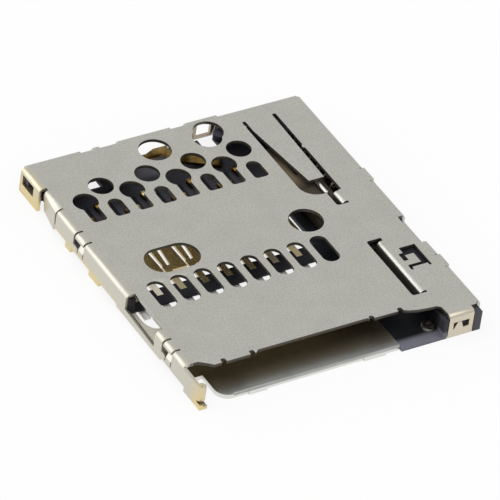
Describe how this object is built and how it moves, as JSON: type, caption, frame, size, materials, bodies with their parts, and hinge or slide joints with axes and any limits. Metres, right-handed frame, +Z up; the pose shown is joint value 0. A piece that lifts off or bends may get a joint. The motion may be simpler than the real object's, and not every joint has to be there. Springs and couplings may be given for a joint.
{
  "type": "micro sd card socket",
  "caption": "Surface-mount push-push socket for a micro SD card, with a pressed steel cover, leaf contacts and a sprung slider.",
  "frame": {"origin": "middle of the footprint, on the board", "axes": "+X across the card to the spring's side, +Y the way the card goes in, +Z up from the board"},
  "size_m": [0.0134, 0.0154, 0.0012],
  "materials": {
    "cover_steel": "satin",
    "floor_steel": "satin",
    "housing_resin": "satin",
    "slider_resin": "satin",
    "contact_bronze": "satin",
    "switch_gold": "polished",
    "spring_wire": "satin",
    "follower_wire": "polished"
  },
  "bodies": {
    "body": {"cover_shell": "cover_steel", "floor_plate": "floor_steel", "housing": "housing_resin", "contact_1": "contact_bronze", "contact_2": "contact_bronze", "contact_3": "contact_bronze", "contact_4": "contact_bronze", "contact_5": "contact_bronze", "contact_6": "contact_bronze", "contact_7": "contact_bronze", "contact_8": "contact_bronze", "detect_lever": "switch_gold", "detect_terminal": "switch_gold", "eject_spring": "spring_wire"},
    "slider": {"slider": "slider_resin"},
    "follower": {"cam_follower": "follower_wire"}
  },
  "joints": [
    {"name": "slider_slide", "type": "slide", "parent": "body", "child": "slider", "axis": [0, 1, 0], "range_m": [0, 0.002], "stiffness_N_per_m": 600, "deforming": ["eject_spring"]},
    {"name": "follower_swing", "type": "hinge", "parent": "body", "child": "follower", "pos_m": [0.0046, 0.0061, 0.00082], "axis": [0, 0, -1], "range_deg": [0, 3.9]}
  ],
  "couplings": [
    {"joint": "follower_swing", "follows": "slider_slide", "rad_per_m": 33.36}
  ]
}
